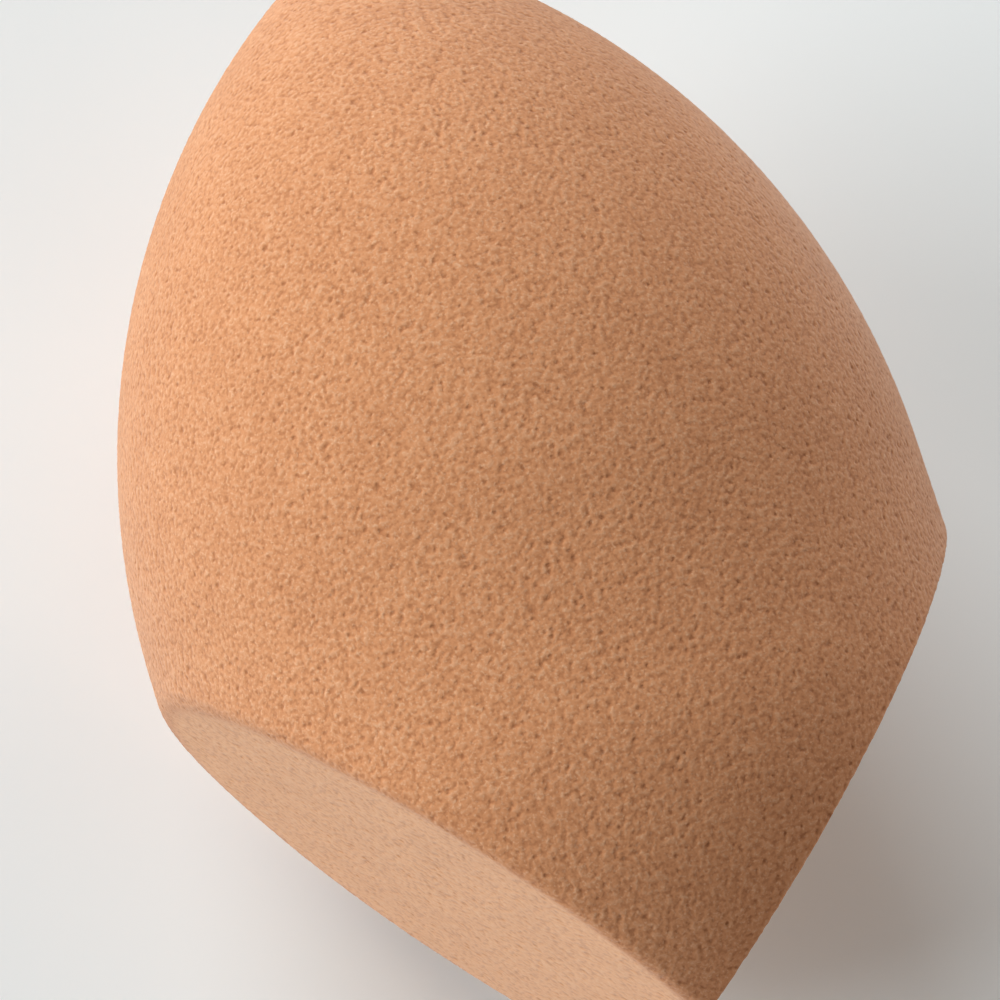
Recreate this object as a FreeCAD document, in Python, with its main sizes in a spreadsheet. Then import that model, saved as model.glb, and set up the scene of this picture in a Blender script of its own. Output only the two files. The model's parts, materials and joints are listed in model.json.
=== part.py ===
"""Makeup sponge: one piece of moulded soft foam with a pointed tip and two flat cut faces.

The foam leaves its mould as a round-bottomed ogive. Two strokes of a blade then cut the round
bottom into a wedge, whose faces meet in a straight ridge. The sponge lies on its side: +Y runs
along its axis towards the tip, +Z is up along the ridge, and the origin lies under the middle of
its length, on the surface that it rests on.

The foam moves by being squeezed. It is split into zones, square to its axis, so that the tip and
the ridge can each be pressed towards the belly while the foam between them gives way.
"""

import FreeCAD, Part
import math
import os
import Sketcher

# Driving dimensions in millimetres and degrees, each with what it sets
SIZES = [
    ("belly_diameter", 42.0, "widest diameter of the round foam"),
    ("tip_length", 34.8, "widest plane to the end of the tip"),
    ("tip_radius", 4.2, "rounding at the end of the tip"),
    ("band_length", 9.5, "straight band between the widest plane and the round bottom"),
    ("ridge_depth", 25.2, "widest plane to the ridge of the wedge"),
    ("ridge_offset", 1.9, "ridge to the axis, towards the left face"),
    ("left_cut_angle", 39.3, "left cut face to the axis"),
    ("right_cut_angle", 47.4, "right cut face to the axis"),
    ("contact_depth", 0.5, "foam flattened by its own weight where it lies"),
    ("tip_zone_length", 10.8, "foam at the tip that moves as one"),
    ("shoulder_zone_length", 16.0, "foam behind the tip that gives way"),
    ("edge_zone_length", 8.0, "foam at the ridge that moves as one"),
    ("wedge_zone_length", 12.0, "foam above the ridge that gives way"),
    ("overrun", 5.0, "reach of every cut past the foam"),
]
FULL_TURN = 360.0
HALF_TURN = 180.0

doc = FreeCAD.newDocument("makeup_sponge")


def make_sheet():
    """Keep the driving dimensions in a sheet, one named cell each."""
    sheet = doc.addObject("Spreadsheet::Sheet", "Sizes")
    for row, (name, value, note) in enumerate(SIZES, start=1):
        sheet.set(f"A{row}", note)
        sheet.set(f"B{row}", str(value))
        sheet.setAlias(f"B{row}", name)
    doc.recompute()
    return sheet


sizes = make_sheet()


def size(name):
    """Read one driving dimension from the sheet."""
    return float(sizes.get(name))


def in_sheet(formula):
    """Turn a formula of plain names into one that reads the sheet."""
    names = [row[0] for row in SIZES]
    return " ".join(f"Sizes.{word}" if word in names else word for word in formula.split())


def plane_of(body, role):
    """Find one of a body's own origin planes."""
    return next(item for item in body.Origin.OriginFeatures if item.Role == role)


def new_sketch(body, name, role):
    """Start a sketch on one of the body's own origin planes."""
    sketch = body.newObject("Sketcher::SketchObject", name)
    sketch.AttachmentSupport = [(plane_of(body, role), "")]
    sketch.MapMode = "FlatFace"
    return sketch


def dimension(sketch, name, formula, *arguments):
    """Add a named dimension to a sketch and tie it to the sheet."""
    index = sketch.addConstraint(Sketcher.Constraint(*arguments))
    sketch.renameConstraint(index, name)
    sketch.setExpression(f"Constraints.{name}", in_sheet(formula))


# Sketch references: the horizontal axis with the origin as its first point, and the vertical axis
ACROSS = -1
ALONG = -2
START = 1
END = 2
CENTRE = 3


def draw_profile(sketch):
    """Draw half of the moulded outline: tip arc, shoulder arc, straight band and round bottom."""
    radius = size("belly_diameter") / 2
    tip_radius = size("tip_radius")
    tip_centre = size("tip_length") - tip_radius
    band = size("band_length")
    shoulder_radius = (radius**2 - tip_radius**2 + tip_centre**2) / (2 * (radius - tip_radius))
    join_angle = math.atan2(tip_centre, shoulder_radius - radius)
    normal = FreeCAD.Vector(0, 0, 1)

    def arc(x, y, arc_radius, first, last):
        circle = Part.Circle(FreeCAD.Vector(x, y, 0), normal, arc_radius)
        return sketch.addGeometry(Part.ArcOfCircle(circle, first, last), False)

    def line(x1, y1, x2, y2):
        segment = Part.LineSegment(FreeCAD.Vector(x1, y1, 0), FreeCAD.Vector(x2, y2, 0))
        return sketch.addGeometry(segment, False)

    tip = arc(0, tip_centre, tip_radius, join_angle, math.pi / 2)
    shoulder = arc(radius - shoulder_radius, 0, shoulder_radius, 0, join_angle)
    side = line(radius, 0, radius, -band)
    bottom = arc(0, -band, radius, -math.pi / 2, 0)
    axis = line(0, -band - radius, 0, size("tip_length"))

    sketch.addConstraint(Sketcher.Constraint("Tangent", tip, START, shoulder, END))
    sketch.addConstraint(Sketcher.Constraint("Tangent", shoulder, START, side, START))
    sketch.addConstraint(Sketcher.Constraint("Tangent", bottom, END, side, END))
    sketch.addConstraint(Sketcher.Constraint("Coincident", bottom, START, axis, START))
    sketch.addConstraint(Sketcher.Constraint("Coincident", tip, END, axis, END))
    sketch.addConstraint(Sketcher.Constraint("Vertical", axis))
    sketch.addConstraint(Sketcher.Constraint("Vertical", side))
    sketch.addConstraint(Sketcher.Constraint("PointOnObject", axis, START, ALONG))
    sketch.addConstraint(Sketcher.Constraint("PointOnObject", tip, CENTRE, ALONG))
    sketch.addConstraint(Sketcher.Constraint("PointOnObject", bottom, CENTRE, ALONG))
    sketch.addConstraint(Sketcher.Constraint("PointOnObject", side, START, ACROSS))
    dimension(sketch, "belly_radius", "belly_diameter / 2", "DistanceX", ACROSS, START, side, START, radius)
    dimension(sketch, "tip_reach", "tip_length", "DistanceY", ACROSS, START, tip, END, size("tip_length"))
    dimension(sketch, "tip_rounding", "tip_radius", "Radius", tip, tip_radius)
    dimension(sketch, "band", "band_length", "DistanceY", side, END, side, START, band)


def mould_foam(body):
    """Turn the moulded outline round the sponge's axis."""
    profile = new_sketch(body, "moulded_outline", "XY_Plane")
    draw_profile(profile)
    turned = body.newObject("PartDesign::Revolution", "moulded_shape")
    turned.Profile = profile
    turned.ReferenceAxis = (profile, ["V_Axis"])
    turned.Angle = FULL_TURN
    doc.recompute()


def cut_through(body, sketch, name):
    """Cut the sketched area right through the foam, both ways from the sketch's plane."""
    before = body.Shape.Volume
    cut = body.newObject("PartDesign::Pocket", name)
    cut.Profile = sketch
    cut.Type = "ThroughAll"
    cut.SideType = "Symmetric"
    doc.recompute()
    print(name, "removes", round(before - body.Shape.Volume, 1), "cubic millimetres")


def cut_face(body, name, angle_name, side):
    """Cut one face of the wedge: side is minus one for the left face and one for the right face."""
    sketch = new_sketch(body, f"{name}_outline", "XY_Plane")
    ridge = FreeCAD.Vector(-size("ridge_offset"), -size("ridge_depth"), 0)
    outer = size("belly_diameter") / 2 + size("overrun")
    below = size("band_length") + size("belly_diameter") / 2 + size("overrun")
    rise = (outer + side * size("ridge_offset")) / math.tan(math.radians(size(angle_name)))
    corners = [
        ridge,
        FreeCAD.Vector(side * outer, ridge.y + rise, 0),
        FreeCAD.Vector(side * outer, -below, 0),
        FreeCAD.Vector(ridge.x, -below, 0),
    ]
    face, outside, bottom, inside = [
        sketch.addGeometry(Part.LineSegment(corner, corners[(index + 1) % len(corners)]), False)
        for index, corner in enumerate(corners)
    ]
    for first, second in ((face, outside), (outside, bottom), (bottom, inside), (inside, face)):
        sketch.addConstraint(Sketcher.Constraint("Coincident", first, END, second, START))
    for upright in (outside, inside):
        sketch.addConstraint(Sketcher.Constraint("Vertical", upright))
    sketch.addConstraint(Sketcher.Constraint("Horizontal", bottom))
    dimension(sketch, "offset", "ridge_offset", "DistanceX", face, START, ACROSS, START, size("ridge_offset"))
    dimension(sketch, "depth", "ridge_depth", "DistanceY", face, START, ACROSS, START, size("ridge_depth"))
    reach = "belly_diameter / 2 + overrun"
    ends = [(ACROSS, START), (outside, START)][::side]
    dimension(sketch, "outer_reach", reach, "DistanceX", *ends[0], *ends[1], outer)
    lowest = f"band_length + {reach}"
    dimension(sketch, "lower_reach", lowest, "DistanceY", bottom, START, ACROSS, START, below)
    # The face and the upright below the ridge make the cut angle's supplement
    pair = [(inside, END), (face, START)][::side]
    angle = math.pi - math.radians(size(angle_name))
    supplement = f"{HALF_TURN} - {angle_name}"
    dimension(sketch, "angle", supplement, "Angle", *pair[0], *pair[1], angle)
    cut_through(body, sketch, name)


def flatten_contact(body):
    """Take off the shallow cap of foam that its own weight flattens against the surface."""
    sketch = new_sketch(body, "contact_outline", "YZ_Plane")
    end = size("tip_length") + size("overrun")
    top = size("belly_diameter") / 2 - size("contact_depth")
    deep = size("belly_diameter") / 2 + size("overrun")
    corners = [(-end, -top), (end, -top), (end, -deep), (-end, -deep)]
    points = [FreeCAD.Vector(along, up, 0) for along, up in corners]
    lines = [
        sketch.addGeometry(Part.LineSegment(point, points[(index + 1) % len(points)]), False)
        for index, point in enumerate(points)
    ]
    for index, first in enumerate(lines):
        second = lines[(index + 1) % len(lines)]
        sketch.addConstraint(Sketcher.Constraint("Coincident", first, END, second, START))
    upper, front, lower, back = lines
    for level in (upper, lower):
        sketch.addConstraint(Sketcher.Constraint("Horizontal", level))
    for upright in (front, back):
        sketch.addConstraint(Sketcher.Constraint("Vertical", upright))
    flat = "belly_diameter / 2 - contact_depth"
    dimension(sketch, "flat_height", flat, "DistanceY", upper, START, ACROSS, START, top)
    deepest = "belly_diameter / 2 + overrun"
    dimension(sketch, "cut_depth", deepest, "DistanceY", lower, START, ACROSS, START, deep)
    reach = "tip_length + overrun"
    dimension(sketch, "front_reach", reach, "DistanceX", ACROSS, START, front, START, end)
    dimension(sketch, "back_reach", reach, "DistanceX", back, START, ACROSS, START, end)
    cut_through(body, sketch, "contact_flat")


def make_foam():
    """Mould the whole foam, cut its wedge and lay it on its side."""
    body = doc.addObject("PartDesign::Body", "whole_foam")
    mould_foam(body)
    cut_face(body, "left_face", "left_cut_angle", -1)
    cut_face(body, "right_face", "right_cut_angle", 1)
    flatten_contact(body)
    middle = "( ridge_depth - tip_length ) / 2"
    body.setExpression("Placement.Base.y", in_sheet(middle))
    body.setExpression("Placement.Base.z", in_sheet("belly_diameter / 2 - contact_depth"))
    doc.recompute()
    return body


HALF_LENGTH = "( ridge_depth + tip_length ) / 2"

# Each zone's first and last plane along the sponge's axis
ZONES = {
    "wedge_edge": (f"- {HALF_LENGTH} - overrun", f"- {HALF_LENGTH} + edge_zone_length"),
    "soft_wedge": (
        f"- {HALF_LENGTH} + edge_zone_length",
        f"- {HALF_LENGTH} + edge_zone_length + wedge_zone_length",
    ),
    "round_belly": (
        f"- {HALF_LENGTH} + edge_zone_length + wedge_zone_length",
        f"{HALF_LENGTH} - tip_zone_length - shoulder_zone_length",
    ),
    "soft_shoulder": (
        f"{HALF_LENGTH} - tip_zone_length - shoulder_zone_length",
        f"{HALF_LENGTH} - tip_zone_length",
    ),
    "pointed_tip": (f"{HALF_LENGTH} - tip_zone_length", f"{HALF_LENGTH} + overrun"),
}


def make_zone(foam, label, first, last):
    """Keep the slice of the foam between two planes square to its axis."""
    slab = doc.addObject("Part::Box", f"{label}_slab")
    slab.setExpression("Length", in_sheet("belly_diameter + 2 * overrun"))
    slab.setExpression("Width", in_sheet(f"( {last} ) - ( {first} )"))
    slab.setExpression("Height", in_sheet("belly_diameter + 2 * overrun"))
    slab.setExpression("Placement.Base.x", in_sheet("- belly_diameter / 2 - overrun"))
    slab.setExpression("Placement.Base.y", in_sheet(first))
    slab.setExpression("Placement.Base.z", in_sheet("- overrun"))
    zone = doc.addObject("Part::Common", label)
    zone.Base = foam
    zone.Tool = slab
    zone.Label = label
    return zone


def check(zones):
    """Stop if anything in the document failed or a zone is not one sound solid."""
    for item in doc.Objects:
        if "Invalid" in item.State or "Error" in item.State:
            raise RuntimeError(f"{item.Name} failed: {item.State}")
    for zone in zones:
        if zone.Shape.isNull() or not zone.Shape.isValid() or len(zone.Shape.Solids) != 1:
            raise RuntimeError(f"{zone.Label} is not one sound solid")


def write(zones):
    """Write each zone to its own file and print what it measures."""
    os.makedirs("parts", exist_ok=True)
    for zone in zones:
        box = zone.Shape.optimalBoundingBox()
        span = f"Y {box.YMin:.2f} to {box.YMax:.2f}, Z {box.ZMin:.2f} to {box.ZMax:.2f}"
        print(zone.Label, "volume", round(zone.Shape.Volume, 1), "width", round(box.XLength, 2), span)
        zone.Shape.exportStep(f"parts/{zone.Label}.step")


foam = make_foam()
zones = [make_zone(foam, label, first, last) for label, (first, last) in ZONES.items()]
doc.recompute()
check(zones)
write(zones)
total = sum(zone.Shape.Volume for zone in zones)
print("whole foam", round(foam.Shape.Volume, 1), "zones together", round(total, 1), "cubic millimetres")
centre = foam.Shape.CenterOfGravity
print("centre of gravity", [round(value, 2) for value in centre])
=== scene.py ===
# %% [markdown]
# # A makeup sponge of soft foam
# The sponge is one piece of moulded foam: a pointed tip, a round belly and two flat faces that a blade
# has cut, which meet in a ridge. This lesson dresses the five zones of the solid model with one
# unbroken foam surface, whose pits are real dents in the mesh, and lights it softly from low down.
# Everything is in metres, in the frame of the solid model.

# %% Load the solid model as a fixed frame
import bpy
import bmesh
import json
import math
import numpy as np
from mathutils import Matrix, Vector


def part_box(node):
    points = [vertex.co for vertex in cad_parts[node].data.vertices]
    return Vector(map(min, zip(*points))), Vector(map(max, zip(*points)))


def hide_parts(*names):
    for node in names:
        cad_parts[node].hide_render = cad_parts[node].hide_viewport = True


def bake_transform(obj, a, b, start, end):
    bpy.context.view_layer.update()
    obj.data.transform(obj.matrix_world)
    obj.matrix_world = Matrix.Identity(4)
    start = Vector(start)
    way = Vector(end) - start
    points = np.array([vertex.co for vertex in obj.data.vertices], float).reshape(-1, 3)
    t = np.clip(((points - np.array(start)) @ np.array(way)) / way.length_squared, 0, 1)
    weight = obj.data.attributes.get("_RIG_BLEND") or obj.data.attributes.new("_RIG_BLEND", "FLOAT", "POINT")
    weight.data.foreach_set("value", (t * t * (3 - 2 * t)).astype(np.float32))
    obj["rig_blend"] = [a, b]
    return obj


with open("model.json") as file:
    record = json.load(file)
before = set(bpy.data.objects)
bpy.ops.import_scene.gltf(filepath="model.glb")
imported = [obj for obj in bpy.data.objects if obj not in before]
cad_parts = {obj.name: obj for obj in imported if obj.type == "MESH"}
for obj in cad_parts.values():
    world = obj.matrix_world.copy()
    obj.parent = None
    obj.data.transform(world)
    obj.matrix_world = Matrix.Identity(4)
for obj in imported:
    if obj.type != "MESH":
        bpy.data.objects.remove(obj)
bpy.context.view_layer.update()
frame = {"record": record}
MM = 0.001
scene = bpy.context.scene
scene.view_settings.view_transform = "Standard"

# %% [markdown]
# ## The rule of the shape
# The mould is a turned shape: a round bottom, a short straight band, and a shoulder that is one large
# arc, tangent to the band below and to the small rounding of the tip above. Two planes then cut the
# bottom into a wedge. A mesh could be copied from the solids, but theirs is faceted for speed, and
# facets would show through soft shading. So the same rule is written again as a height above the
# surface: negative inside the foam, zero on its surface, positive outside.

# %% Sizes, read from the frame where it has them
belly_low, belly_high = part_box("round_belly")
BELLY_RADIUS = (belly_high.x - belly_low.x) / 2
AXIS_HEIGHT = belly_high.z - BELLY_RADIUS
TIP_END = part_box("pointed_tip")[1].y
RIDGE_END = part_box("wedge_edge")[0].y
WIDEST_Y = -4.8 * MM
BAND_LENGTH = 9.5 * MM
TIP_ROUNDING = 4.2 * MM
LEFT_EDGE_ROUNDING = 0.5 * MM
RIGHT_EDGE_ROUNDING = 0.1 * MM
CONTACT_ROUNDING = 0.3 * MM
MIDDLE = np.array([0.0, WIDEST_Y, AXIS_HEIGHT])
TIP_CENTRE = TIP_END - WIDEST_Y - TIP_ROUNDING
TWICE_NARROWING = 2 * (BELLY_RADIUS - TIP_ROUNDING)
SHOULDER_RADIUS = (BELLY_RADIUS**2 - TIP_ROUNDING**2 + TIP_CENTRE**2) / TWICE_NARROWING
mounts = {mount["name"]: mount for mount in frame["record"]["mounts"]}
print("belly radius", round(BELLY_RADIUS, 5), "shoulder radius", round(SHOULDER_RADIUS, 5))


# %% Height above the foam's surface
def moulded_height(points):
    """Height above the moulded surface, before the blade's cuts."""
    across = np.hypot(points[:, 0], points[:, 2] - AXIS_HEIGHT)
    along = points[:, 1] - WIDEST_Y
    inset = SHOULDER_RADIUS - BELLY_RADIUS
    shoulder = np.hypot(across + inset, along) - SHOULDER_RADIUS
    tip = np.hypot(across, along - TIP_CENTRE) - TIP_ROUNDING
    bottom = np.hypot(across, np.minimum(along + BAND_LENGTH, 0)) - BELLY_RADIUS
    past_shoulder = along * inset > TIP_CENTRE * (across + inset)
    return np.where(along < 0, bottom, np.where(past_shoulder, tip, shoulder))


def face_height(points, name):
    """Height above one of the flat faces, whose place and direction the record gives."""
    return (points - np.array(mounts[name]["pos_m"])) @ np.array(mounts[name]["axis"])


def larger(first, second, rounding):
    """The larger of two heights, with the edge between their surfaces rounded."""
    near = np.maximum(rounding - np.abs(first - second), 0)
    return np.maximum(first, second) + near**2 / (4 * rounding)


def foam_height(points):
    """Height above the finished foam, and how far the cut faces stand inside the moulded surface."""
    moulded = moulded_height(points)
    left = face_height(points, "left_face")
    right = face_height(points, "right_face")
    cut = larger(larger(moulded, left, LEFT_EDGE_ROUNDING), right, RIGHT_EDGE_ROUNDING)
    return larger(cut, -points[:, 2], CONTACT_ROUNDING), np.maximum(left, right) - moulded


print("height at the middle", round(float(foam_height(MIDDLE[None])[0][0]), 5))

# %% [markdown]
# ## An even skin of small squares
# The pits are a few tenths of a millimetre wide, so the skin needs squares of about an eighth of a
# millimetre, all of like size. A ball of rings crowds them at its poles. A cube with a fine grid on
# each side, blown up onto the shape along rays from the middle, stays even, and its six sides give a
# ready map for textures. Geometry Nodes make the grid, and a search along each ray finds the surface.
# The grid's middle line falls on the widest plane, where the skin is later parted in two.

# %% Helpers for node trees
def new_group(name):
    """Start a Geometry Nodes tree with a geometry output."""
    group = bpy.data.node_groups.new(name, "GeometryNodeTree")
    group.interface.new_socket("Geometry", in_out="OUTPUT", socket_type="NodeSocketGeometry")
    return group


def add_input(group, name, kind):
    """Add a named input, whose value the modifier gives."""
    group.interface.new_socket(name, in_out="INPUT", socket_type=kind)


def fill_socket(tree, socket, value):
    """Link a socket to another one, or set its value."""
    if isinstance(value, bpy.types.NodeSocket):
        tree.links.new(value, socket)
    else:
        socket.default_value = value


def add_node(tree, kind, settings=None, **inputs):
    """Add a node, set its options, and fill its inputs with values or links.

    An input is named by its socket, with spaces as underscores, or by its place, as in_0.
    """
    node = tree.nodes.new(kind)
    for key, value in (settings or {}).items():
        setattr(node, key, value)
    for key, value in inputs.items():
        socket_key = int(key[3:]) if key.startswith("in_") else key.replace("_", " ")
        fill_socket(tree, node.inputs[socket_key], value)
    return node


def math_node(tree, operation, *values):
    """Add one sum, product or the like, and return its result."""
    inputs = {f"in_{index}": value for index, value in enumerate(values)}
    return add_node(tree, "ShaderNodeMath", {"operation": operation}, **inputs).outputs[0]


def run_tree(mesh, tree, name, values):
    """Run a tree on a mesh with the given inputs, and return the result as a plain mesh."""
    holder = bpy.data.objects.new(name, mesh)
    scene.collection.objects.link(holder)
    modifier = holder.modifiers.new(name, "NODES")
    modifier.node_group = tree
    sockets = {item.name: item.identifier for item in tree.interface.items_tree if item.in_out == "INPUT"}
    for key, value in values.items():
        modifier[sockets[key]] = value
    bpy.context.view_layer.update()
    graph = bpy.context.evaluated_depsgraph_get()
    result = bpy.data.meshes.new_from_object(holder.evaluated_get(graph))
    result.name = name
    bpy.data.objects.remove(holder)
    return result


print("helpers for node trees are ready")

# %% The grid cube
CELLS_PER_SIDE = 256
CUBE_SIZE = (2, 2, 2)
TEXTURE_MAP = "OFBake"


def grid_cube_tree():
    """A cube from -1 to 1 with a fine grid on each side and a texture map."""
    tree = new_group("foam_grid")
    add_input(tree, "Points per side", "NodeSocketInt")
    count = tree.nodes.new("NodeGroupInput").outputs["Points per side"]
    cube = add_node(
        tree, "GeometryNodeMeshCube", None,
        Size=CUBE_SIZE, Vertices_X=count, Vertices_Y=count, Vertices_Z=count,
    )
    mapped = add_node(
        tree, "GeometryNodeStoreNamedAttribute", {"data_type": "FLOAT2", "domain": "CORNER"},
        Geometry=cube.outputs["Mesh"], Name=TEXTURE_MAP, Value=cube.outputs["UV Map"],
    )
    add_node(tree, "NodeGroupOutput", None, Geometry=mapped.outputs["Geometry"])
    return tree


start = bpy.data.meshes.new("start")
skin = run_tree(start, grid_cube_tree(), "foam_skin", {"Points per side": CELLS_PER_SIDE + 1})
print("grid", len(skin.vertices), "points", len(skin.polygons), "squares")

# %% Blow the grid up onto the foam
TIP_PULL = 1.45
RIDGE_PULL = 1.15
SEARCH_STEPS = 40


def points_of(mesh):
    """The points of a mesh as an array."""
    flat = np.empty(len(mesh.vertices) * 3, np.float32)
    mesh.vertices.foreach_get("co", flat)
    return flat.reshape(-1, 3).astype(float)


def ray_directions(cube):
    """Even directions for a cube's grid, drawn towards the tip and the ridge, which lie further out."""
    rays = np.tan(cube * math.pi / 4)
    rays[:, 1] *= np.where(rays[:, 1] > 0, TIP_PULL, RIDGE_PULL)
    return rays / np.linalg.norm(rays, axis=1)[:, None]


def surface_points(rays):
    """Halve the interval along each ray until it closes on the surface."""
    near = np.zeros(len(rays))
    far = np.full(len(rays), TIP_END - RIDGE_END)
    for _ in range(SEARCH_STEPS):
        half = (near + far) / 2
        inside = foam_height(MIDDLE + rays * half[:, None])[0] < 0
        near = np.where(inside, half, near)
        far = np.where(inside, far, half)
    return MIDDLE + rays * near[:, None]


places = surface_points(ray_directions(points_of(skin)))
skin.vertices.foreach_set("co", places.astype(np.float32).ravel())
edge_ends = np.array([edge.vertices[:] for edge in skin.edges])
edge_lengths = np.linalg.norm(places[edge_ends[:, 0]] - places[edge_ends[:, 1]], axis=1)
print("square sides in mm", np.round(np.percentile(edge_lengths, [5, 50, 95]) / MM, 3))

# %% Keep each point's place, and where the blade has cut
CUT_BLEND = 0.5 * MM
CUT_INSET = 0.5 * MM


def store(mesh, name, kind, values):
    """Keep a value for each point of the mesh under a name."""
    field = "vector" if kind == "FLOAT_VECTOR" else "value"
    attribute = mesh.attributes.new(name, kind, "POINT")
    attribute.data.foreach_set(field, np.asarray(values, np.float32).ravel())


cut_share = np.clip((foam_height(places)[1] - CUT_INSET) / CUT_BLEND + 0.5, 0, 1)
store(skin, "foam_place", "FLOAT_VECTOR", places)
store(skin, "cut_face", "FLOAT", cut_share)
skin.update()
print("share of points on the cut faces", round(float(cut_share.mean()), 3))

# %% [markdown]
# ## The foam's finish
# Moulded foam is a crowd of tiny burst bubbles: a fine grain a quarter of a millimetre across, with
# darker pits strewn over it, and no gloss. The blade has laid open a calmer, paler grain on the cut
# faces. A picture of foam could be wrapped round, but it would stretch and show its seams. So one
# procedural material makes both finishes, mixed by the share of cut face stored on the mesh. Its
# colour also paints shade into the hollows and pits and paints highlights on the raised grain and on
# small pale specks, over a random mottle. Its patterns read the place stored on each point, so they
# stay on the foam when it is squeezed. The same functions lay the patterns in the material, with plain
# numbers, and in the tree that dents the mesh, with that tree's named inputs. A sheen, the same all
# over, gives the pale bloom that fine foam shows at its rim.

# %% Pattern sizes shared by the dents and the colours
GRAIN_SIZE = 0.25 * MM
CUT_GRAIN_SIZE = 0.28 * MM
CUT_STRETCH = 1.5
PIT_SPACING = 0.44 * MM
PIT_RADIUS = 0.15 * MM
PIT_FRAY = 0.6
PIT_RIM = PIT_RADIUS / PIT_SPACING + PIT_FRAY / 2
PIT_FLOOR = 0.45 * PIT_RIM
NOISE_DETAIL = 1.0
NOISE_ROUGHNESS = 0.5
CUT_SQUEEZE = GRAIN_SIZE / CUT_GRAIN_SIZE
PATTERN = {
    "Grains per metre": 1 / GRAIN_SIZE,
    "Pits per metre": 1 / PIT_SPACING,
    "Cut face squeeze": (CUT_SQUEEZE, CUT_SQUEEZE, CUT_SQUEEZE / CUT_STRETCH),
    "Seed shift": (0.0031, 0.0017, 0.0053),
}
print("grain and pits in mm", GRAIN_SIZE / MM, PIT_SPACING / MM)


# %% Grain and pits
def vector_node(tree, operation, first, second):
    """Add one sum or product of two vectors, and return its result."""
    node = add_node(tree, "ShaderNodeVectorMath", {"operation": operation}, in_0=first, in_1=second)
    return node.outputs[0]


def noise_pattern(tree, place, scale):
    """Soft noise from 0 to 1, with about this many features to the metre."""
    return add_node(
        tree, "ShaderNodeTexNoise", {"noise_dimensions": "3D"},
        Vector=place, Scale=scale, Detail=NOISE_DETAIL, Roughness=NOISE_ROUGHNESS,
    ).outputs[0]


def stepped(tree, value, band, at_low, at_high):
    """Lead smoothly from one result to another while a value crosses a band."""
    return add_node(
        tree, "ShaderNodeMapRange", {"interpolation_type": "SMOOTHSTEP"},
        Value=value, From_Min=band[0], From_Max=band[1], To_Min=at_low, To_Max=at_high,
    ).outputs[0]


def mix_value(tree, share, first, second):
    """Mix two values by a share."""
    return add_node(
        tree, "ShaderNodeMapRange", None,
        Value=share, From_Min=0.0, From_Max=1.0, To_Min=first, To_Max=second,
    ).outputs[0]


def foam_pits(tree, place, scale, grain):
    """1 in the middle of a pit and 0 from its rim outwards, with the rim frayed by the grain."""
    distance = add_node(
        tree, "ShaderNodeTexVoronoi", {"voronoi_dimensions": "3D", "feature": "F1"},
        Vector=place, Scale=scale, Randomness=1.0,
    ).outputs["Distance"]
    frayed = math_node(tree, "MULTIPLY_ADD", grain, PIT_FRAY, distance)
    return stepped(tree, frayed, (PIT_FLOOR, PIT_RIM), 1.0, 0.0)


def foam_patterns(tree, place, cut, pattern):
    """Grain and pits, larger and drawn out upwards where the blade has cut."""
    drawn = vector_node(tree, "MULTIPLY", place, pattern["Cut face squeeze"])
    grain = noise_pattern(tree, place, pattern["Grains per metre"])
    cut_grain = noise_pattern(tree, drawn, pattern["Grains per metre"])
    pits = foam_pits(tree, place, pattern["Pits per metre"], grain)
    cut_pits = foam_pits(tree, drawn, pattern["Pits per metre"], cut_grain)
    return mix_value(tree, cut, grain, cut_grain), mix_value(tree, cut, pits, cut_pits)


print("pits reach from", round(PIT_FLOOR, 3), "to", round(PIT_RIM, 3), "of their spacing, with the fray")

# %% Foam colour
MOULDED_TAN = (0.5, 0.217, 0.097, 1)
CUT_PEACH = (0.607, 0.286, 0.128, 1)
# Darkens random patches of the foam's tone, and is painted shade in the hollows of the grain and in the
# pits.
MOTTLE_AND_SHADE_BROWN = (0.215, 0.06, 0.017, 1)
# Painted highlight on the raised grain and on small pale specks.
HIGHLIGHT_PALE = (0.68, 0.435, 0.275, 1)
# Size of the small pale specks, which are painted glints.
GLINT_SIZE = 0.15 * MM
PATCH_SIZE = 3.0 * MM
HOLLOW_BAND = (0.30, 0.52)
RAISED_BAND = (0.52, 0.70)
GLINT_BAND = (0.56, 0.70)
PATCH_BAND = (0.3, 0.7)
# Shares of painted shade in hollows, painted highlight on raised grain and specks, random mottle, and
# painted shade in pits.
HOLLOW_SHADE_SHARE = 0.34
RAISED_HIGHLIGHT_SHARE = 0.20
GLINT_SHARE = 0.30
PATCH_SHARE = 0.07
PIT_SHADE_SHARE = 0.32
CUT_CONTRAST = 0.8
CUT_PITS = 0.4


def mix_colour(tree, share, first, second):
    """Mix two colours by a share."""
    node = add_node(tree, "ShaderNodeMix", {"data_type": "RGBA"}, in_0=share, in_6=first, in_7=second)
    return node.outputs[2]


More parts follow.
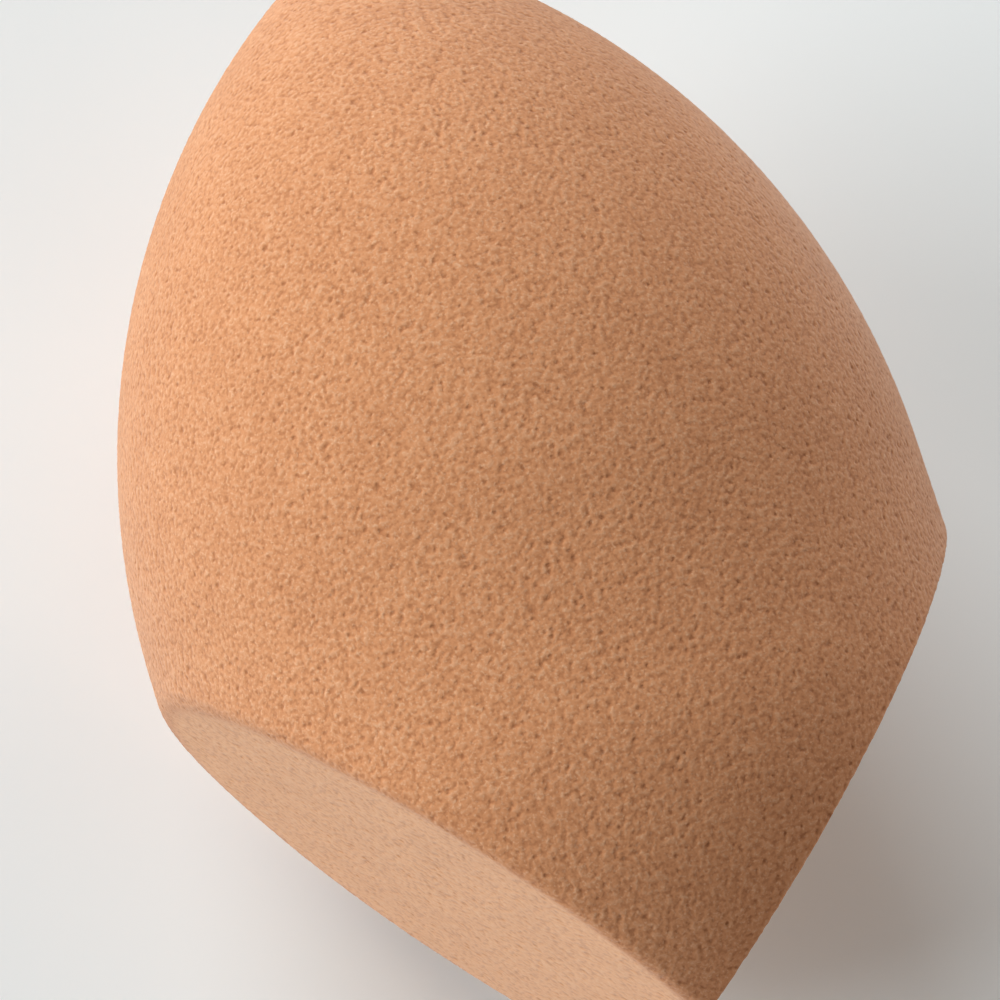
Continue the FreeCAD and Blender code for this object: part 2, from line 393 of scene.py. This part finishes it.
def foam_colour(tree, place, cut, grain, pits):
    """Tan or peach foam with a random mottle, painted highlights on raised grain and pale specks, and
    painted shade in hollows and pits.
    """
    contrast = mix_value(tree, cut, 1.0, CUT_CONTRAST)
    # Painted shade in the hollows of the grain.
    hollow = math_node(tree, "MULTIPLY", stepped(tree, grain, HOLLOW_BAND, HOLLOW_SHADE_SHARE, 0.0), contrast)
    # Painted highlight on the raised parts of the grain.
    raised = math_node(tree, "MULTIPLY", stepped(tree, grain, RAISED_BAND, 0.0, RAISED_HIGHLIGHT_SHARE), contrast)
    # Painted shade in the pits.
    painted_pit_shade = math_node(tree, "MULTIPLY", pits, mix_value(tree, cut, PIT_SHADE_SHARE, PIT_SHADE_SHARE * CUT_PITS))
    # Painted glints: small pale specks.
    painted_glints = stepped(tree, noise_pattern(tree, place, 1 / GLINT_SIZE), GLINT_BAND, 0.0, GLINT_SHARE)
    patches = stepped(tree, noise_pattern(tree, place, 1 / PATCH_SIZE), PATCH_BAND, 0.0, PATCH_SHARE)
    colour = mix_colour(tree, cut, MOULDED_TAN, CUT_PEACH)
    # Painted highlights on the raised grain and on the specks.
    for share in (raised, painted_glints):
        colour = mix_colour(tree, share, colour, HIGHLIGHT_PALE)
    # A random mottle, then painted shade in the hollows and the pits.
    for share in (patches, hollow, painted_pit_shade):
        colour = mix_colour(tree, share, colour, MOTTLE_AND_SHADE_BROWN)
    return colour


print("foam colours", MOULDED_TAN[:3], CUT_PEACH[:3])

# %% Foam material
BUMP_HEIGHT = 0.06 * MM
BUMP_STRENGTH = 0.7
PIT_BUMP = 0.3
FOAM_FINISH = {
    "Roughness": 0.95,
    "Specular IOR Level": 0.0,
    "Sheen Weight": 0.28,
    "Sheen Roughness": 0.5,
    "Sheen Tint": (1.0, 0.94, 0.88, 1),
}


def set_inputs(shader, values):
    """Set a shader's own sockets by name."""
    for name, value in values.items():
        shader.inputs[name].default_value = value


def foam_material():
    """Matte open foam with a soft bloom at its rim, calmer and paler on the cut faces."""
    material = bpy.data.materials.new("open_foam")
    material.use_nodes = True
    tree = material.node_tree
    shader = tree.nodes["Principled BSDF"]
    stored = add_node(tree, "ShaderNodeAttribute", {"attribute_name": "foam_place"}).outputs["Vector"]
    cut = add_node(tree, "ShaderNodeAttribute", {"attribute_name": "cut_face"}).outputs["Fac"]
    place = vector_node(tree, "ADD", stored, PATTERN["Seed shift"])
    grain, pits = foam_patterns(tree, place, cut, PATTERN)
    # The base colour carries painted shade in hollows and pits and painted highlights on raised grain and
    # specks.
    tree.links.new(foam_colour(tree, place, cut, grain, pits), shader.inputs["Base Color"])
    height = math_node(tree, "SUBTRACT", grain, math_node(tree, "MULTIPLY", pits, PIT_BUMP))
    bump = add_node(
        tree, "ShaderNodeBump", None,
        Strength=BUMP_STRENGTH, Distance=BUMP_HEIGHT, Height=height,
    )
    tree.links.new(bump.outputs["Normal"], shader.inputs["Normal"])
    set_inputs(shader, FOAM_FINISH)
    return material


FOAM = foam_material()
print("material", FOAM.name, len(FOAM.node_tree.nodes), "nodes")

# %% [markdown]
# ## Grain and pits as real dents
# A burst bubble is a dent with a soft rim, so it should shade and shadow as one. Bump mapping only tilts
# the shading, and the outline stays smooth. Here a Geometry Nodes tree pushes each point of the skin
# inwards along its normal by the grain and the pits, less deeply on the cut faces. Bump mapping by the
# same patterns adds what is finer than the skin's squares.

# %% Dent the skin
DENTS = {
    "Grain depth": 0.045 * MM,
    "Pit depth": 0.05 * MM,
    "Cut face relief": 0.85,
}
DENT_BAND = (0.2, 0.8)


def dent_tree():
    """Push the skin in by grain and pits, then give it the foam's finish."""
    tree = new_group("foam_dents")
    add_input(tree, "Geometry", "NodeSocketGeometry")
    for name, value in {**PATTERN, **DENTS}.items():
        add_input(tree, name, "NodeSocketVector" if isinstance(value, tuple) else "NodeSocketFloat")
    add_input(tree, "Finish", "NodeSocketMaterial")
    given = tree.nodes.new("NodeGroupInput").outputs
    normal = tree.nodes.new("GeometryNodeInputNormal").outputs[0]
    position = tree.nodes.new("GeometryNodeInputPosition").outputs[0]
    place = vector_node(tree, "ADD", position, given["Seed shift"])
    stored = add_node(tree, "GeometryNodeInputNamedAttribute", {"data_type": "FLOAT"}, Name="cut_face")
    cut = stored.outputs[0]
    grain, pits = foam_patterns(tree, place, cut, given)
    hollow = math_node(tree, "MULTIPLY", stepped(tree, grain, DENT_BAND, 1.0, 0.0), given["Grain depth"])
    depth = math_node(tree, "MULTIPLY_ADD", pits, given["Pit depth"], hollow)
    relief = mix_value(tree, cut, 1.0, given["Cut face relief"])
    inwards = math_node(tree, "MULTIPLY", math_node(tree, "MULTIPLY", depth, relief), -1.0)
    offset = add_node(tree, "ShaderNodeVectorMath", {"operation": "SCALE"}, in_0=normal, Scale=inwards)
    moved = add_node(
        tree, "GeometryNodeSetPosition", None, Geometry=given["Geometry"], Offset=offset.outputs[0],
    )
    whole = add_node(tree, "GeometryNodeRealizeInstances", None, Geometry=moved.outputs[0])
    finished = add_node(
        tree, "GeometryNodeSetMaterial", None, Geometry=whole.outputs[0], Material=given["Finish"],
    )
    add_node(tree, "NodeGroupOutput", None, Geometry=finished.outputs[0])
    return tree


foam = run_tree(skin, dent_tree(), "foam", {**PATTERN, **DENTS, "Finish": FOAM})
foam.shade_smooth()
dent_depths = np.linalg.norm(points_of(foam) - places, axis=1)
print("dented skin", len(foam.polygons), "squares, deepest dent in mm", round(dent_depths.max() / MM, 3))

# %% [markdown]
# ## One foam, two ways to squeeze
# The tip and the ridge can each be pressed towards the belly. A piece can follow only one such motion, so
# the skin is parted on the widest plane, where nothing moves. Both halves keep the whole skin's normals
# along that line, so no seam shows, and each is closed by a flat cap inside the foam.

# %% Part the skin in two
def half_of(mesh, name, side):
    """Keep the half of the skin on one side of the widest plane, and close it."""
    normals = np.empty(len(mesh.vertices) * 3, np.float32)
    mesh.vertex_normals.foreach_get("vector", normals)
    half = mesh.copy()
    half.name = name
    store(half, "whole_normal", "FLOAT_VECTOR", normals)
    work = bmesh.new()
    work.from_mesh(half)
    rest = work.verts.layers.float_vector["foam_place"]
    middles = [sum(vert[rest].y for vert in face.verts) / len(face.verts) for face in work.faces]
    gone = [face for face, y in zip(work.faces, middles) if (y - WIDEST_Y) * side < 0]
    bmesh.ops.delete(work, geom=gone, context="FACES")
    rim = [edge for edge in work.edges if edge.is_boundary]
    bmesh.ops.holes_fill(work, edges=rim, sides=0)
    work.to_mesh(half)
    work.free()
    kept = np.empty(len(half.vertices) * 3, np.float32)
    half.attributes["whole_normal"].data.foreach_get("vector", kept)
    half.attributes.remove(half.attributes["whole_normal"])
    half.normals_split_custom_set_from_vertices(kept.reshape(-1, 3))
    piece = bpy.data.objects.new(name, half)
    scene.collection.objects.link(piece)
    print(name, len(half.polygons), "faces")
    return piece


tip_half = half_of(foam, "foam_tip_half", 1)
wedge_half = half_of(foam, "foam_wedge_half", -1)

# %% Tie the halves to the bodies
MOVING_END = 5.0 * MM
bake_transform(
    tip_half, "belly", "tip",
    start=(0, WIDEST_Y, AXIS_HEIGHT), end=(0, TIP_END - MOVING_END, AXIS_HEIGHT),
)
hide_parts("pointed_tip", "soft_shoulder", "round_belly")
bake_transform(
    wedge_half, "belly", "edge",
    start=(0, WIDEST_Y, AXIS_HEIGHT), end=(0, RIDGE_END + MOVING_END, AXIS_HEIGHT),
)
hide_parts("wedge_edge", "soft_wedge")

# %% [markdown]
# ## The floor
# The sponge lies on a plain pale surface, which throws light back up under the foam and holds its soft
# shadow. A curved backdrop would serve one view only, so a single flat square does this for all of them.
# It reaches well past the lamps, so that no rim shows behind the sponge.

# %% Floor
FLOOR_REACH = 8.0
FLOOR_FINISH = {
    "Base Color": (0.89, 0.91, 0.905, 1),
    "Roughness": 0.9,
    "Specular IOR Level": 0.1,
}


def floor_material():
    """Plain pale matte floor."""
    material = bpy.data.materials.new("pale_floor")
    material.use_nodes = True
    set_inputs(material.node_tree.nodes["Principled BSDF"], FLOOR_FINISH)
    return material


def make_floor():
    """A flat square under the sponge."""
    mesh = bpy.data.meshes.new("floor")
    corners = [(x * FLOOR_REACH, y * FLOOR_REACH, 0) for x, y in ((-1, -1), (1, -1), (1, 1), (-1, 1))]
    mesh.from_pydata(corners, [], [(0, 1, 2, 3)])
    mesh.materials.append(floor_material())
    floor = bpy.data.objects.new("floor", mesh)
    scene.collection.objects.link(floor)


make_floor()
print("floor", FLOOR_REACH * 2, "metres wide")

# %% [markdown]
# ## The camera
# The photograph looks almost straight down, from close by, with the tip at the top left. The camera's
# place and turn were fitted to the sponge's outline there. The lens is given by its focal length in
# picture points, because that is what an outline can be fitted with, and turned into millimetres here.

# %% Camera
CAMERA_PLACE = Vector((-45.67, -28.88, 224.09)) * MM
CAMERA_BACK = Vector((-0.2137, -0.1321, 0.9679))
CAMERA_UP = Vector((0.2705, 0.9441, 0.1886))
FOCAL_PIXELS = 3997
PICTURE_PIXELS = 1000
NEAREST_SEEN = 0.01


def make_camera():
    """A long lens, almost straight above, turned so that the tip points up and to the left."""
    back = CAMERA_BACK.normalized()
    right = CAMERA_UP.cross(back).normalized()
    up = back.cross(right)
    data = bpy.data.cameras.new("camera")
    data.lens = data.sensor_width * FOCAL_PIXELS / PICTURE_PIXELS
    data.clip_start = NEAREST_SEEN
    camera = bpy.data.objects.new("camera", data)
    turn = Matrix((right, up, back)).transposed().to_4x4()
    camera.matrix_world = Matrix.Translation(CAMERA_PLACE) @ turn
    scene.collection.objects.link(camera)
    scene.camera = camera
    return camera


camera = make_camera()
print("lens", round(camera.data.lens, 1), "mm")

# %% [markdown]
# ## The light
# Soft foam needs soft light that comes from low down, so that the grain casts small shadows and the sides
# of the belly are brighter than its top. One lamp could stand for a window, but the far side would go
# black. Five large square lamps stand all round instead: two strong cool ones on the left and behind, and
# three weaker, warmer ones on the right and in front. They stand far off, so the floor is lit evenly. The
# sky adds almost no light, and is pale only where it is seen past the floor.

# %% Lamps
COOL = (1.0, 1.06, 1.09)
PLAIN = (1.0, 0.96, 0.915)
WARM = (1.0, 0.935, 0.88)
LAMP_DISTANCE = 3.4
LAMP_SIZE = 2.1
LAMPS = {
    "window_lamp": {"azimuth": 163, "elevation": 17, "watts": 128, "colour": COOL},
    "back_lamp": {"azimuth": 106, "elevation": 26, "watts": 100, "colour": COOL},
    "right_lamp": {"azimuth": 38, "elevation": 16, "watts": 46, "colour": PLAIN},
    "side_lamp": {"azimuth": 335, "elevation": 20, "watts": 20, "colour": WARM},
    "front_lamp": {"azimuth": 278, "elevation": 14, "watts": 37, "colour": WARM},
}


def make_lamp(name, azimuth, elevation, watts, colour):
    """A square soft lamp that faces the sponge, placed by its direction in degrees."""
    data = bpy.data.lights.new(name, "AREA")
    data.shape = "SQUARE"
    data.size = LAMP_SIZE
    data.energy = watts
    data.color = colour
    lamp = bpy.data.objects.new(name, data)
    level = math.cos(math.radians(elevation))
    aim = Vector((
        level * math.cos(math.radians(azimuth)),
        level * math.sin(math.radians(azimuth)),
        math.sin(math.radians(elevation)),
    ))
    lamp.location = Vector(MIDDLE) + aim * LAMP_DISTANCE
    lamp.rotation_euler = aim.to_track_quat("Z", "Y").to_euler()
    scene.collection.objects.link(lamp)


for lamp_name, lamp_values in LAMPS.items():
    make_lamp(lamp_name, **lamp_values)
print("lamps", sorted(LAMPS))

# %% Sky
SKY_STRENGTH = 0.01
HORIZON_STRENGTH = 0.85


def make_sky():
    """An even sky: very dim as light, and pale where it is seen or mirrored."""
    world = bpy.data.worlds.new("sky")
    world.use_nodes = True
    tree = world.node_tree
    backdrop = tree.nodes["Background"]
    backdrop.inputs["Color"].default_value = (1, 1, 1, 1)
    ray = add_node(tree, "ShaderNodeLightPath").outputs
    mirrored = math_node(tree, "MAXIMUM", ray["Is Glossy Ray"], ray["Is Transmission Ray"])
    seen = math_node(tree, "MAXIMUM", ray["Is Camera Ray"], mirrored)
    tree.links.new(mix_value(tree, seen, SKY_STRENGTH, HORIZON_STRENGTH), backdrop.inputs["Strength"])
    scene.world = world


make_sky()
print("sky strength", SKY_STRENGTH, "and where it is seen", HORIZON_STRENGTH)
